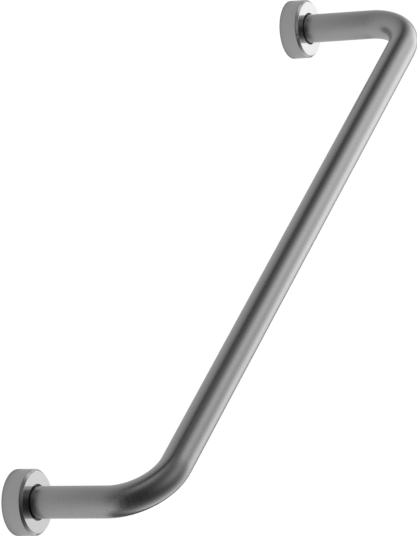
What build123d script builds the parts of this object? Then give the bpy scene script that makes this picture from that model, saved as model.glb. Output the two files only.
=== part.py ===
from build123d import *
import os
from math import radians, tan

# A cabinet handle: one bent round tube that stands on two turned round roses. Sizes are in millimetres.
# The origin is midway between the two screw holes, on the cabinet's face (the plane Y = 0).
# X runs along the grip, -Y points out of the cabinet towards the hand, and Z is up.

# The handle as a whole
HOLE_SPACING = 256.0  # between the two cabinet screws, eight steps of the 32 mm drilling grid
GRIP_STANDOFF = 48.0  # from the cabinet's face to the axis of the grip

# The bent tube, which is grip and both posts in one
TUBE_DIAMETER = 10.0
TUBE_WALL = 1.0
BEND_RADIUS = 17.0  # of the tube's axis, in both corners
TUBE_END_CHAMFER = 0.3  # outer edge of each sawn end

# The threaded plug pressed into each end of the tube
PLUG_LENGTH = 15.0
PLUG_LEAD_CHAMFER = 0.8  # on the end that enters the tube first
PRESS_ALLOWANCE = 0.0  # plug radius over the tube's bore, face to face once pressed in
THREAD_CORE_DIAMETER = 3.3  # drilled for an M4 thread
THREAD_DEPTH = 11.0  # from the plug's face to where the drill point begins
THREAD_MOUTH_CHAMFER = 0.5
DRILL_POINT_ANGLE = 118.0

# The turned rose under each end
ROSE_DIAMETER = 20.5
ROSE_HEIGHT = 7.0
ROSE_RIM_CHAMFER = 0.8  # front edge, the bright and dark band round the face
ROSE_BACK_CHAMFER = 0.2  # broken edge against the cabinet
ROSE_FLOOR = 2.0  # left under the tube, clamped between it and the cabinet
SEAT_CLEARANCE = 0.1  # round the tube, in the bore that centres it
MOUTH_GAP = 0.6  # round the tube at the face, the dark ring
MOUTH_DEPTH = 2.0
SCREW_HOLE_DIAMETER = 4.5  # clearance for an M4 screw

# Worked out from the sizes above
tube_radius = TUBE_DIAMETER / 2
tube_bore_radius = tube_radius - TUBE_WALL
ends_x = (-HOLE_SPACING / 2, HOLE_SPACING / 2)


def turned(section):
    """Turn a half section, given as (radius, height above the cabinet) points, round the screw's axis."""
    with BuildPart() as piece:
        with BuildSketch(Plane.XY):
            with BuildLine():
                Polyline([(radius, -height) for radius, height in section], close=True)
            make_face()
        revolve(axis=Axis.Y)
    return piece.part


def bent_tube():
    """Both posts and the grip, bent from one length of tube and sawn square at the ends."""
    left, right = ends_x
    with BuildPart() as tube:
        with BuildLine() as axis_line:
            FilletPolyline(
                (left, -ROSE_FLOOR),
                (left, -GRIP_STANDOFF),
                (right, -GRIP_STANDOFF),
                (right, -ROSE_FLOOR),
                radius=BEND_RADIUS,
            )
        with BuildSketch(Plane(origin=axis_line.line @ 0, z_dir=axis_line.line % 0)):
            Circle(tube_radius)
            Circle(tube_bore_radius, mode=Mode.SUBTRACT)
        sweep()
        sawn_edges = tube.edges().filter_by(GeomType.CIRCLE).group_by(Axis.Y)[-1]
        outer_edges = sawn_edges.filter_by(lambda edge: edge.radius > (tube_radius + tube_bore_radius) / 2)
        chamfer(outer_edges, min(TUBE_END_CHAMFER, TUBE_WALL / 2))
    return tube.part


def threaded_plug():
    """A turned plug, flush with the sawn end of the tube, with a blind hole for the cabinet screw."""
    plug_radius = tube_bore_radius + PRESS_ALLOWANCE
    core_radius = THREAD_CORE_DIAMETER / 2
    foot = ROSE_FLOOR
    top = foot + PLUG_LENGTH
    thread_end = foot + THREAD_DEPTH
    drill_tip = thread_end + core_radius / tan(radians(DRILL_POINT_ANGLE / 2))
    return turned(
        [
            (0, drill_tip),
            (core_radius, thread_end),
            (core_radius, foot + THREAD_MOUTH_CHAMFER),
            (core_radius + THREAD_MOUTH_CHAMFER, foot),
            (plug_radius, foot),
            (plug_radius, top - PLUG_LEAD_CHAMFER),
            (plug_radius - PLUG_LEAD_CHAMFER, top),
            (0, top),
        ]
    )


def rose():
    """A turned rose: chamfered face, a mouth that clears the tube, a closer seat, and a drilled floor."""
    rose_radius = ROSE_DIAMETER / 2
    screw_hole_radius = SCREW_HOLE_DIAMETER / 2
    seat_radius = tube_radius + SEAT_CLEARANCE
    mouth_radius = tube_radius + MOUTH_GAP
    mouth_floor = ROSE_HEIGHT - MOUTH_DEPTH
    return turned(
        [
            (screw_hole_radius, 0),
            (rose_radius - ROSE_BACK_CHAMFER, 0),
            (rose_radius, ROSE_BACK_CHAMFER),
            (rose_radius, ROSE_HEIGHT - ROSE_RIM_CHAMFER),
            (rose_radius - ROSE_RIM_CHAMFER, ROSE_HEIGHT),
            (mouth_radius, ROSE_HEIGHT),
            (mouth_radius, mouth_floor),
            (seat_radius, mouth_floor),
            (seat_radius, ROSE_FLOOR),
            (screw_hole_radius, ROSE_FLOOR),
        ]
    )


def handle():
    """Every separate piece by name, in its place."""
    pieces = {"grip_tube": bent_tube()}
    for side, x in zip(("left", "right"), ends_x):
        pieces[f"plug_{side}"] = Pos(x, 0, 0) * threaded_plug()
        pieces[f"rose_{side}"] = Pos(x, 0, 0) * rose()
    return pieces


os.makedirs("parts", exist_ok=True)
for node, shape in handle().items():
    export_step(shape, f"parts/{node}.step")
    print(node, round(shape.volume, 1), "mm3")
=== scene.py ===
# A cabinet handle of satin stainless steel: a tube bent into a D on two turned roses, with a threaded plug
# in each end of the tube. The handle hangs in the air as it sits on a door, with its screw holes along X,
# its grip towards -Y and the door's face at Y = 0. All lengths are in metres.
import math

import bmesh
import bpy
from mathutils import Matrix, Vector


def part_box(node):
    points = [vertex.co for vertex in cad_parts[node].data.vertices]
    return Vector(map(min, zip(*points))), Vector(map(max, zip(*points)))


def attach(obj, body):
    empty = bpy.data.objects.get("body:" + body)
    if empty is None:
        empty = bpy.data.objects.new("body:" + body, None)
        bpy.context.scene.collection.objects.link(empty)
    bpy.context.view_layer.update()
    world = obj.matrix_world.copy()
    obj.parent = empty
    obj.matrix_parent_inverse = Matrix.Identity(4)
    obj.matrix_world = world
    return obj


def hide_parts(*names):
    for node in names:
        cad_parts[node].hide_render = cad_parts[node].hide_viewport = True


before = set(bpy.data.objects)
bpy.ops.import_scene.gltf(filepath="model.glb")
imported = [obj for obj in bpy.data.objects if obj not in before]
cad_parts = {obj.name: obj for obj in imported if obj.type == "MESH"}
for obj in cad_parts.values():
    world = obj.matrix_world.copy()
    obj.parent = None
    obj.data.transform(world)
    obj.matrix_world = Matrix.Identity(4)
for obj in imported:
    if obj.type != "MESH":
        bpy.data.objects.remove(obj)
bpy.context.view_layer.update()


# The bent tube is grip and both posts in one: 10 mm stainless tube with a 1 mm wall, drawn round a former
# at both corners and sawn square. It spun against a grinding belt before it was bent, so fine hairlines run
# round it everywhere, and they smear each reflection along the tube more than round it.
MM = 0.001
TUBE_WALL = 1.0 * MM
BEND_RADIUS = 17.0 * MM
SAWN_EDGE = 0.3 * MM
TUBE_FACETS = 96
BEND_STEPS = 36
RING_SPACING = 5.0 * MM
MERGE_WITHIN = 0.002 * MM
tube_low, tube_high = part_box("grip_tube")
tube_radius = (tube_high.z - tube_low.z) / 2
post_x = tube_high.x - tube_radius
grip_y = tube_low.y + tube_radius
sawn_y = tube_high.y
bend_x = post_x - BEND_RADIUS
bend_y = grip_y + BEND_RADIUS


def push_on(mesh, section, steps, centre=(0, 0, 0), angle=0, run=(0, 0, 0)):
    """Push the tube's ring of faces on in even steps, along a run or round the former, and return its end."""
    step = Vector(run) / steps
    pushed = bmesh.ops.spin(
        mesh, geom=section, cent=centre, axis=(0, 0, 1), dvec=step, angle=angle, steps=steps, use_merge=False
    )
    walled_in = [face for face in section if any(len(edge.link_faces) > 2 for edge in face.edges)]
    bmesh.ops.delete(mesh, geom=walled_in, context="FACES")
    return [item for item in pushed["geom_last"] if isinstance(item, bmesh.types.BMFace)]


def along_and_around(point):
    """Distance along the tube's axis from the middle of the grip, and angle round it from the outer side."""
    side = math.copysign(1, point.x)
    out = abs(point.x)
    if point.y > bend_y:
        distance = bend_x + BEND_RADIUS * math.pi / 2 + point.y - bend_y
        outward = out - post_x
    elif out > bend_x:
        corner_angle = math.atan2(bend_y - point.y, out - bend_x)
        distance = bend_x + BEND_RADIUS * (math.pi / 2 - corner_angle)
        outward = math.hypot(bend_y - point.y, out - bend_x) - BEND_RADIUS
    else:
        distance = out
        outward = grip_y - point.y
    return side * distance, math.atan2(point.z, outward)


def into_scene(mesh, name, smooth_below=35):
    """Make a finished object of a bmesh, smooth apart from edges sharper than that many degrees."""
    bmesh.ops.remove_doubles(mesh, verts=mesh.verts, dist=MERGE_WITHIN)
    bmesh.ops.recalc_face_normals(mesh, faces=mesh.faces)
    for face in mesh.faces:
        face.smooth = True
    for edge in mesh.edges:
        edge.smooth = edge.calc_face_angle(0) < math.radians(smooth_below)
    data = bpy.data.meshes.new(name)
    mesh.to_mesh(data)
    mesh.free()
    piece = bpy.data.objects.new(name, data)
    bpy.context.scene.collection.objects.link(piece)
    return piece


tube_mesh = bmesh.new()
standing = Matrix.Translation((-post_x, sawn_y, 0)) @ Matrix.Rotation(math.pi / 2, 4, "X")
bmesh.ops.create_circle(tube_mesh, cap_ends=True, segments=TUBE_FACETS, radius=tube_radius, matrix=standing)
bore = tube_mesh.faces[:]
section = bmesh.ops.inset_region(tube_mesh, faces=bore, thickness=TUBE_WALL, use_boundary=True)["faces"]
bmesh.ops.delete(tube_mesh, geom=bore, context="FACES_ONLY")
post_run, grip_run = sawn_y - bend_y, 2 * bend_x
post_steps, grip_steps = (math.ceil(run / RING_SPACING) for run in (post_run, grip_run))
quarter = math.pi / 2
section = push_on(tube_mesh, section, post_steps, run=(0, -post_run, 0))
section = push_on(tube_mesh, section, BEND_STEPS, centre=(-bend_x, bend_y, 0), angle=quarter)
section = push_on(tube_mesh, section, grip_steps, run=(grip_run, 0, 0))
section = push_on(tube_mesh, section, BEND_STEPS, centre=(bend_x, bend_y, 0), angle=quarter)
section = push_on(tube_mesh, section, post_steps, run=(0, post_run, 0))
sawn_rims = [
    edge
    for edge in tube_mesh.edges
    if all(
        sawn_y - vert.co.y < SAWN_EDGE
        and math.hypot(abs(vert.co.x) - post_x, vert.co.z) > tube_radius - TUBE_WALL / 2
        for vert in edge.verts
    )
]
bmesh.ops.bevel(
    tube_mesh, geom=sawn_rims, offset=SAWN_EDGE, segments=1, profile=0.5, affect="EDGES", material=-1
)
straightened = tube_mesh.loops.layers.uv.new("Straightened")
for face in tube_mesh.faces:
    places = [along_and_around(loop.vert.co) for loop in face.loops]
    crosses_seam = max(angle for _, angle in places) - min(angle for _, angle in places) > math.pi
    for loop, (distance, angle) in zip(face.loops, places):
        if crosses_seam and angle < 0:
            angle += 2 * math.pi
        loop[straightened].uv = (angle / (2 * math.pi), distance)
tube = into_scene(tube_mesh, "satin_tube")
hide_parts("grip_tube")
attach(tube, "root")


def linear(hex_colour):
    """Linear RGBA of an sRGB colour written as hex."""
    channels = [int(hex_colour[place : place + 2], 16) / 255 for place in (1, 3, 5)]
    return [c / 12.92 if c <= 0.04045 else ((c + 0.055) / 1.055) ** 2.4 for c in channels] + [1.0]


def add_node(tree, kind, settings, inputs):
    """Add a node with its settings, and fill each input with a value or a link from another node."""
    made = tree.nodes.new(kind)
    for name, value in settings.items():
        setattr(made, name, value)
    for name, value in inputs.items():
        if isinstance(value, bpy.types.NodeSocket):
            tree.links.new(value, made.inputs[name])
        else:
            made.inputs[name].default_value = value
    return made


# Stainless steel 1.4301, ground with a 240 grit belt: grey metal with no tint, a soft sheen, and hairlines
# round the tube. The real lines are about 0.05 mm wide; they are drawn 0.25 mm wide to show.
HAIRLINE_WIDTH = 0.25 * MM
HAIRLINE_LENGTH = 8 * MM
satin = bpy.data.materials.new("Stainless steel, ground satin")
satin.use_nodes = True
tree = satin.node_tree
tree.nodes.clear()
uv = add_node(tree, "ShaderNodeUVMap", {"uv_map": "Straightened"}, {})
parts = add_node(tree, "ShaderNodeSeparateXYZ", {}, {"Vector": uv.outputs["UV"]})
angle = add_node(tree, "ShaderNodeMath", {"operation": "MULTIPLY"}, {0: parts.outputs["X"], 1: 2 * math.pi})
across = add_node(tree, "ShaderNodeMath", {"operation": "COSINE"}, {0: angle.outputs["Value"]})
upright = add_node(tree, "ShaderNodeMath", {"operation": "SINE"}, {0: angle.outputs["Value"]})
unrolled = add_node(
    tree,
    "ShaderNodeCombineXYZ",
    {},
    {"X": across.outputs["Value"], "Y": upright.outputs["Value"], "Z": parts.outputs["Y"]},
)
lines_per_radius = tube_radius / HAIRLINE_LENGTH
stretched = add_node(
    tree,
    "ShaderNodeVectorMath",
    {"operation": "MULTIPLY"},
    {0: unrolled.outputs["Vector"], 1: (lines_per_radius, lines_per_radius, 1 / HAIRLINE_WIDTH)},
)
hairlines = add_node(
    tree,
    "ShaderNodeTexNoise",
    {"noise_dimensions": "3D"},
    {"Vector": stretched.outputs["Vector"], "Scale": 1.0, "Detail": 3.0, "Roughness": 0.6},
)
shade = add_node(
    tree,
    "ShaderNodeMapRange",
    {},
    {"Value": hairlines.outputs["Fac"], "From Min": 0.3, "From Max": 0.7, "To Min": 0.25, "To Max": 0.31},
)
relief = add_node(
    tree,
    "ShaderNodeBump",
    {},
    {"Height": hairlines.outputs["Fac"], "Strength": 0.1, "Distance": 0.02 * MM},
)
around_tube = add_node(tree, "ShaderNodeTangent", {"direction_type": "UV_MAP", "uv_map": "Straightened"}, {})
steel = add_node(
    tree,
    "ShaderNodeBsdfPrincipled",
    {},
    {
        "Base Color": linear("#C4C4C4"),
        "Metallic": 1.0,
        "Roughness": shade.outputs["Result"],
        "Anisotropic": 0.6,
        "Anisotropic Rotation": 0.25,
        "Tangent": around_tube.outputs["Tangent"],
        "Normal": relief.outputs["Normal"],
    },
)
add_node(tree, "ShaderNodeOutputMaterial", {}, {"Surface": steel.outputs["BSDF"]})
tube.data.materials.append(satin)


# The two roses are turned from 20.5 mm stainless bar: a flat face with a chamfered rim, a mouth that stands
# 0.6 mm clear of the tube and shows as a dark ring, a closer seat under it, and a drilled floor that the
# cabinet screw clamps between tube and door. The turning tool leaves fine rings round the axis.
RIM_CHAMFER = 0.8 * MM
BACK_CHAMFER = 0.2 * MM
ROSE_FLOOR = 2.0 * MM
SEAT_CLEARANCE = 0.1 * MM
MOUTH_GAP = 0.6 * MM
MOUTH_DEPTH = 2.0 * MM
SCREW_HOLE_RADIUS = 2.25 * MM
BROKEN_EDGE = 0.12 * MM
ROSE_FACETS = 160


def turned(name, centre_x, section):
    """Turn a closed half section of (radius, height off the door) points round the screw's axis."""
    mesh = bmesh.new()
    points = [mesh.verts.new((centre_x + radius, -height, 0)) for radius, height in section]
    outline = [mesh.edges.new(pair) for pair in zip(points, points[1:] + points[:1])]
    bmesh.ops.bevel(
        mesh, geom=points, offset=BROKEN_EDGE, segments=2, profile=0.5, affect="VERTICES", material=-1
    )
    bmesh.ops.spin(
        mesh,
        geom=mesh.verts[:] + mesh.edges[:],
        cent=(centre_x, 0, 0),
        axis=(0, 1, 0),
        angle=2 * math.pi,
        steps=ROSE_FACETS,
        use_merge=True,
    )
    return into_scene(mesh, name, smooth_below=10)


def turned_steel(name, hex_colour, smoothest, roughest, ring_width, ring_depth):
    """Bare steel with the turning tool's rings round the screw's axis, which stretch reflections outwards."""
    material = bpy.data.materials.new(name)
    material.use_nodes = True
    tree = material.node_tree
    tree.nodes.clear()
    place = add_node(tree, "ShaderNodeTexCoord", {}, {})
    parts = add_node(tree, "ShaderNodeSeparateXYZ", {}, {"Vector": place.outputs["Object"]})
    out = add_node(tree, "ShaderNodeMath", {"operation": "ABSOLUTE"}, {0: parts.outputs["X"]})
    off = add_node(tree, "ShaderNodeMath", {"operation": "SUBTRACT"}, {0: out.outputs["Value"], 1: post_x})
    spoke = add_node(tree, "ShaderNodeCombineXYZ", {}, {"X": off.outputs["Value"], "Z": parts.outputs["Z"]})
    radius = add_node(tree, "ShaderNodeVectorMath", {"operation": "LENGTH"}, {0: spoke.outputs["Vector"]})
    profile = add_node(
        tree, "ShaderNodeCombineXYZ", {}, {"X": radius.outputs["Value"], "Y": parts.outputs["Y"]}
    )
    rings = add_node(
        tree,
        "ShaderNodeTexNoise",
        {"noise_dimensions": "2D"},
        {"Vector": profile.outputs["Vector"], "Scale": 1 / ring_width, "Detail": 2.0, "Roughness": 0.5},
    )
    shade = add_node(
        tree,
        "ShaderNodeMapRange",
        {},
        {
            "Value": rings.outputs["Fac"],
            "From Min": 0.3,
            "From Max": 0.7,
            "To Min": smoothest,
            "To Max": roughest,
        },
    )
    relief = add_node(
        tree, "ShaderNodeBump", {}, {"Height": rings.outputs["Fac"], "Strength": 0.2, "Distance": ring_depth}
    )
    round_axis = add_node(tree, "ShaderNodeTangent", {"direction_type": "RADIAL", "axis": "Y"}, {})
    steel = add_node(
        tree,
        "ShaderNodeBsdfPrincipled",
        {},
        {
            "Base Color": linear(hex_colour),
            "Metallic": 1.0,
            "Roughness": shade.outputs["Result"],
            "Anisotropic": 0.3,
            "Anisotropic Rotation": 0.25,
            "Tangent": round_axis.outputs["Tangent"],
            "Normal": relief.outputs["Normal"],
        },
    )
    add_node(tree, "ShaderNodeOutputMaterial", {}, {"Surface": steel.outputs["BSDF"]})
    return material


# The rings are the tool's feed, 0.1 mm a turn, drawn 0.2 mm wide.
turned_face = turned_steel(
    "Stainless steel, fine turned",
    "#C8C8C8",
    smoothest=0.11,
    roughest=0.15,
    ring_width=0.2 * MM,
    ring_depth=0.01 * MM,
)

for side in ("left", "right"):
    rose_low, rose_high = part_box(f"rose_{side}")
    rose_radius = (rose_high.z - rose_low.z) / 2
    rose_height = rose_high.y - rose_low.y
    section = [
        (SCREW_HOLE_RADIUS, 0),
        (rose_radius - BACK_CHAMFER, 0),
        (rose_radius, BACK_CHAMFER),
        (rose_radius, rose_height - RIM_CHAMFER),
        (rose_radius - RIM_CHAMFER, rose_height),
        (tube_radius + MOUTH_GAP, rose_height),
        (tube_radius + MOUTH_GAP, rose_height - MOUTH_DEPTH),
        (tube_radius + SEAT_CLEARANCE, rose_height - MOUTH_DEPTH),
        (tube_radius + SEAT_CLEARANCE, ROSE_FLOOR),
        (SCREW_HOLE_RADIUS, ROSE_FLOOR),
    ]
    rose = turned(f"turned_rose_{side}", (rose_low.x + rose_high.x) / 2, section)
    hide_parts(f"rose_{side}")
    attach(rose, "root")
    rose.data.materials.append(turned_face)


# Each end of the tube is closed by a plug turned from 8 mm stainless rod and pressed in flush, drilled and
# tapped M4 for the cabinet screw. Its face and the first turns of the thread show through the rose's hole.
THREAD_PITCH = 0.7 * MM
THREAD_RADIUS = 2.0 * MM
CORE_RADIUS = 1.65 * MM
MOUTH_RADIUS = 2.15 * MM
MOUTH_SINK = 0.3 * MM
THREAD_DEPTH = 11 * MM
DRILL_POINT = 1.0 * MM
LEAD_CHAMFER = 0.8 * MM
PLUG_FACETS = 64


def ring_of(mesh, centre_x, radius, y):
    """A circle of edges round the screw's axis, with its first point towards +X."""
    standing = Matrix.Translation((centre_x, y, 0)) @ Matrix.Rotation(-math.pi / 2, 4, "X")
    made = bmesh.ops.create_circle(mesh, cap_ends=False, segments=PLUG_FACETS, radius=radius, matrix=standing)
    return list({edge for vert in made["verts"] for edge in vert.link_edges})


def cut_level(mesh, y, outwards):
    """Trim the thread square to its axis at one depth, and return the cut's edges."""
    cut = bmesh.ops.bisect_plane(
        mesh,
        geom=mesh.verts[:] + mesh.edges[:] + mesh.faces[:],
        dist=0.0001 * MM,
        plane_co=(0, y, 0),
        plane_no=(0, outwards, 0),
        clear_outer=True,
    )["geom_cut"]
    return [item for item in cut if isinstance(item, bmesh.types.BMEdge)]


# Free cutting steel is a little darker than the roses, with the rings of a coarser feed, 0.3 mm a turn.
plug_steel = turned_steel(
    "Free cutting stainless steel, turned bare",
    "#BCBCBC",
    smoothest=0.24,
    roughest=0.34,
    ring_width=0.3 * MM,
    ring_depth=0.02 * MM,
)

for side in ("left", "right"):
    plug_low, plug_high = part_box(f"plug_{side}")
    plug_radius = (plug_high.z - plug_low.z) / 2
    centre_x = (plug_low.x + plug_high.x) / 2
    face_y = plug_high.y
    mesh = bmesh.new()
    turn_of_thread = (
        (CORE_RADIUS, 0),
        (CORE_RADIUS, THREAD_PITCH / 4),
        (THREAD_RADIUS, THREAD_PITCH * 9 / 16),
        (THREAD_RADIUS, THREAD_PITCH * 11 / 16),
    )
    turns = math.ceil(THREAD_DEPTH / THREAD_PITCH) + 2
    flank = [
        mesh.verts.new((centre_x + radius, face_y - (turn - 1) * THREAD_PITCH - drop, 0))
        for turn in range(turns)
        for radius, drop in turn_of_thread
    ]
    flank_edges = [mesh.edges.new(pair) for pair in zip(flank, flank[1:])]
    bmesh.ops.spin(
        mesh,
        geom=flank + flank_edges,
        cent=(centre_x, 0, 0),
        axis=(0, 1, 0),
        dvec=(0, -THREAD_PITCH / PLUG_FACETS, 0),
        angle=2 * math.pi,
        steps=PLUG_FACETS,
        use_merge=False,
    )
    bmesh.ops.remove_doubles(mesh, verts=mesh.verts, dist=MERGE_WITHIN)
    near_cut = cut_level(mesh, face_y - MOUTH_SINK, 1)
    deep_cut = cut_level(mesh, face_y - THREAD_DEPTH, -1)
    bmesh.ops.bridge_loops(mesh, edges=near_cut + ring_of(mesh, centre_x, MOUTH_RADIUS, face_y))
    bmesh.ops.bridge_loops(
        mesh, edges=deep_cut + ring_of(mesh, centre_x, CORE_RADIUS, face_y - THREAD_DEPTH - MOUTH_SINK)
    )
    bottom = [
        (CORE_RADIUS, -THREAD_DEPTH - MOUTH_SINK),
        (0, -THREAD_DEPTH - MOUTH_SINK - DRILL_POINT),
    ]
    shell = [
        (MOUTH_RADIUS, 0),
        (plug_radius, 0),
        (plug_radius, plug_low.y - face_y + LEAD_CHAMFER),
        (plug_radius - LEAD_CHAMFER, plug_low.y - face_y),
        (0, plug_low.y - face_y),
    ]
    for outline in (bottom, shell):
        line = [mesh.verts.new((centre_x + radius, face_y + drop, 0)) for radius, drop in outline]
        line_edges = [mesh.edges.new(pair) for pair in zip(line, line[1:])]
        bmesh.ops.spin(
            mesh,
            geom=line + line_edges,
            cent=(centre_x, 0, 0),
            axis=(0, 1, 0),
            angle=2 * math.pi,
            steps=PLUG_FACETS,
            use_merge=True,
        )
    plug = into_scene(mesh, f"threaded_plug_{side}")
    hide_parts(f"plug_{side}")
    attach(plug, "root")
    plug.data.materials.append(plug_steel)


# The handle hangs over a floor of matt white paper, far below it, in an evenly white room. The paper glows a
# little to the camera and in the metal, so that it shows nearly white there.
FLOOR_DEPTH = 0.75
FLOOR_RADIUS = 6.0
PAPER_GLOW = 0.22
floor_mesh = bmesh.new()
bmesh.ops.create_circle(
    floor_mesh,
    cap_ends=True,
    segments=64,
    radius=FLOOR_RADIUS,
    matrix=Matrix.Translation((0, 0, -FLOOR_DEPTH)),
)
floor = into_scene(floor_mesh, "floor")
paper = bpy.data.materials.new("Matt white paper")
paper.use_nodes = True
tree = paper.node_tree
tree.nodes.clear()
matt = add_node(tree, "ShaderNodeBsdfDiffuse", {}, {"Color": linear("#E7E7E7")})
rays = add_node(tree, "ShaderNodeLightPath", {}, {})
seen = add_node(
    tree,
    "ShaderNodeMath",
    {"operation": "ADD"},
    {0: rays.outputs["Is Camera Ray"], 1: rays.outputs["Is Glossy Ray"]},
)
shown = add_node(
    tree,
    "ShaderNodeMath",
    {"operation": "ADD"},
    {0: seen.outputs["Value"], 1: rays.outputs["Is Transmission Ray"]},
)
lift = add_node(tree, "ShaderNodeMath", {"operation": "MULTIPLY"}, {0: shown.outputs["Value"], 1: PAPER_GLOW})
glow = add_node(
    tree, "ShaderNodeEmission", {}, {"Color": linear("#FFFFFF"), "Strength": lift.outputs["Value"]}
)
both = add_node(tree, "ShaderNodeAddShader", {}, {0: matt.outputs["BSDF"], 1: glow.outputs["Emission"]})
add_node(tree, "ShaderNodeOutputMaterial", {}, {"Surface": both.outputs["Shader"]})
floor.data.materials.append(paper)


# Only the metal mirrors the tent, a dark ball of cloth lit through by six soft lamps. A lamp is given by its
# azimuth in degrees from straight ahead (-Y) towards +X, its elevation, its level and its narrowness.
TENT_RADIUS = 0.7
UNLIT_CLOTH = 0.02
TENT_LAMPS = {
    "softbox, right and low": (55, -30, 1.1, 10),
    "upper right": (50, 20, 0.8, 15),
    "far right": (75, -10, 1.0, 20),
    "pale table below": (0, -90, 0.8, 4),
    "overhead": (0, 90, 0.4, 10),
    "faint, ahead": (0, 15, 0.3, 10),
}
tent_mesh = bmesh.new()
bmesh.ops.create_uvsphere(tent_mesh, u_segments=64, v_segments=32, radius=TENT_RADIUS)
tent = into_scene(tent_mesh, "light_tent")
cloth = bpy.data.materials.new("Tent cloth, lit through by six soft lamps")
cloth.use_nodes = True
tree = cloth.node_tree
tree.nodes.clear()
place = add_node(tree, "ShaderNodeTexCoord", {}, {})
direction = add_node(tree, "ShaderNodeVectorMath", {"operation": "NORMALIZE"}, {0: place.outputs["Object"]})
total = add_node(tree, "ShaderNodeValue", {}, {})
total.outputs["Value"].default_value = UNLIT_CLOTH
for azimuth, elevation, level, narrowness in TENT_LAMPS.values():
    rise = math.radians(elevation)
    turned_by = math.radians(azimuth)
    towards = (math.cos(rise) * math.sin(turned_by), -math.cos(rise) * math.cos(turned_by), math.sin(rise))
    nearness = add_node(
        tree,
        "ShaderNodeVectorMath",
        {"operation": "DOT_PRODUCT"},
        {0: direction.outputs["Vector"], 1: towards},
    )
    falloff = add_node(
        tree,
        "ShaderNodeMath",
        {"operation": "MULTIPLY_ADD"},
        {0: nearness.outputs["Value"], 1: narrowness, 2: -narrowness},
    )
    pool = add_node(tree, "ShaderNodeMath", {"operation": "EXPONENT"}, {0: falloff.outputs["Value"]})
    total = add_node(
        tree,
        "ShaderNodeMath",
        {"operation": "MULTIPLY_ADD"},
        {0: pool.outputs["Value"], 1: level, 2: total.outputs["Value"]},
    )
light = add_node(tree, "ShaderNodeEmission", {}, {"Strength": total.outputs["Value"]})
add_node(tree, "ShaderNodeOutputMaterial", {}, {"Surface": light.outputs["Emission"]})
tent.data.materials.append(cloth)


# Only the metal mirrors the board, which hangs in the place of the door, 1 mm behind its face. It glows with
# painted light and shade: dark, paler far to the left, with a painted band of light across it and a painted
# soft shade round each rose's foot.
BOARD_GAP = 1 * MM
BOARD_SIZE = 1.5
BOARD_BASE = 0.05
BOARD_BAND = 0.54
BAND_FOOT = (-0.0865, -0.0765)
BAND_FADE = (-0.072, 0.203)
BOARD_LEFT = 0.67
LEFT_FADE = (-0.55, -0.25)
ROSE_SHADE = 1.5 * MM
board_mesh = bmesh.new()
hanging = Matrix.Translation((0, BOARD_GAP, 0)) @ Matrix.Rotation(math.pi / 2, 4, "X")
bmesh.ops.create_grid(board_mesh, x_segments=1, y_segments=1, size=BOARD_SIZE / 2, matrix=hanging)
board = into_scene(board_mesh, "board")
glowing_board = bpy.data.materials.new("Board glowing with a painted band of light")
glowing_board.use_nodes = True
tree = glowing_board.node_tree
tree.nodes.clear()
place = add_node(tree, "ShaderNodeTexCoord", {}, {})
parts = add_node(tree, "ShaderNodeSeparateXYZ", {}, {"Vector": place.outputs["Object"]})
# Painted light: the band of light across the board rises sharply at its foot and fades upwards.
rising = add_node(
    tree,
    "ShaderNodeMapRange",
    {"interpolation_type": "SMOOTHSTEP"},
    {"Value": parts.outputs["Z"], "From Min": BAND_FOOT[0], "From Max": BAND_FOOT[1]},
)
fading = add_node(
    tree,
    "ShaderNodeMapRange",
    {"interpolation_type": "SMOOTHSTEP"},
    {
        "Value": parts.outputs["Z"],
        "From Min": BAND_FADE[0],
        "From Max": BAND_FADE[1],
        "To Min": BOARD_BAND,
        "To Max": 0.0,
    },
)
level = add_node(
    tree,
    "ShaderNodeMath",
    {"operation": "MULTIPLY_ADD"},
    {0: rising.outputs["Result"], 1: fading.outputs["Result"], 2: BOARD_BASE},
)
# Painted light: the board glows paler far to the left.
far_left = add_node(
    tree,
    "ShaderNodeMapRange",
    {"interpolation_type": "SMOOTHSTEP"},
    {
        "Value": parts.outputs["X"],
        "From Min": LEFT_FADE[0],
        "From Max": LEFT_FADE[1],
        "To Min": 1.0,
        "To Max": 0.0,
    },
)
paler_by = add_node(
    tree, "ShaderNodeMath", {"operation": "SUBTRACT"}, {0: BOARD_LEFT, 1: level.outputs["Value"]}
)
level = add_node(
    tree,
    "ShaderNodeMath",
    {"operation": "MULTIPLY_ADD"},
    {0: far_left.outputs["Result"], 1: paler_by.outputs["Value"], 2: level.outputs["Value"]},
)
# Painted shade: the board's glow fades to nothing at the edge of each rose's foot.
out = add_node(tree, "ShaderNodeMath", {"operation": "ABSOLUTE"}, {0: parts.outputs["X"]})
off = add_node(tree, "ShaderNodeMath", {"operation": "SUBTRACT"}, {0: out.outputs["Value"], 1: post_x})
spoke = add_node(tree, "ShaderNodeCombineXYZ", {}, {"X": off.outputs["Value"], "Z": parts.outputs["Z"]})
radius = add_node(tree, "ShaderNodeVectorMath", {"operation": "LENGTH"}, {0: spoke.outputs["Vector"]})
past_edge = add_node(
    tree, "ShaderNodeMath", {"operation": "SUBTRACT"}, {0: radius.outputs["Value"], 1: rose_radius}
)
distance = add_node(tree, "ShaderNodeMath", {"operation": "ABSOLUTE"}, {0: past_edge.outputs["Value"]})
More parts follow.
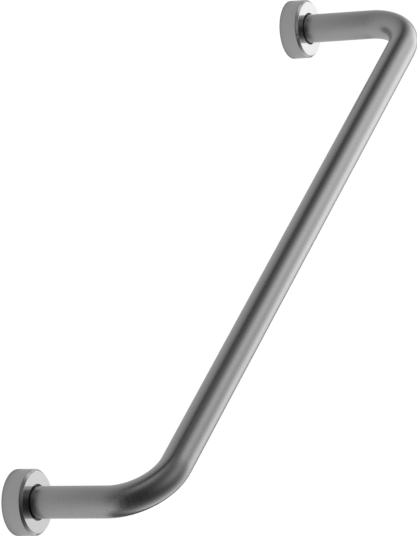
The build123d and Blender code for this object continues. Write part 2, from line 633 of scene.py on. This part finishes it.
into_shade = add_node(
    tree, "ShaderNodeMath", {"operation": "MULTIPLY"}, {0: distance.outputs["Value"], 1: -1 / ROSE_SHADE}
)
shade = add_node(tree, "ShaderNodeMath", {"operation": "EXPONENT"}, {0: into_shade.outputs["Value"]})
open_share = add_node(
    tree, "ShaderNodeMath", {"operation": "SUBTRACT", "use_clamp": True}, {0: 1.0, 1: shade.outputs["Value"]}
)
strength = add_node(
    tree,
    "ShaderNodeMath",
    {"operation": "MULTIPLY"},
    {0: level.outputs["Value"], 1: open_share.outputs["Value"]},
)
light = add_node(tree, "ShaderNodeEmission", {}, {"Strength": strength.outputs["Value"]})
add_node(tree, "ShaderNodeOutputMaterial", {}, {"Surface": light.outputs["Emission"]})
board.data.materials.append(glowing_board)

for prop in (tent, board):
    prop.visible_camera = False
    prop.visible_diffuse = False
    prop.visible_shadow = False

room = bpy.data.worlds.new("White room")
room.use_nodes = True
room.node_tree.nodes["Background"].inputs["Color"].default_value = linear("#FFFFFF")
room.node_tree.nodes["Background"].inputs["Strength"].default_value = 1.0
bpy.context.scene.world = room
bpy.context.scene.view_settings.view_transform = "Standard"


# The camera looks past the left rose along the grip, down and across it, and is rolled so that the posts lie
# level in the picture. It stands 1.24 m off with a long lens.
LENS = 255.63
CAMERA_DISTANCE = 1.2436
AZIMUTH = math.radians(57.51)
DOWNWARD = math.radians(32.06)
ROLL = math.radians(-20.81)
aim = Vector((-7.5, -18.1, -2.9)) * MM
looking = Vector(
    (math.sin(AZIMUTH) * math.cos(DOWNWARD), math.cos(AZIMUTH) * math.cos(DOWNWARD), -math.sin(DOWNWARD))
)
level_right = looking.cross(Vector((0, 0, 1))).normalized()
level_up = level_right.cross(looking)
right = math.cos(ROLL) * level_right + math.sin(ROLL) * level_up
up = right.cross(looking)
lens = bpy.data.cameras.new("camera")
lens.lens = LENS
lens.clip_start = 0.01
camera = bpy.data.objects.new("camera", lens)
turn = Matrix((right, up, -looking)).transposed().to_4x4()
camera.matrix_world = Matrix.Translation(aim - CAMERA_DISTANCE * looking) @ turn
bpy.context.scene.collection.objects.link(camera)
bpy.context.scene.camera = camera
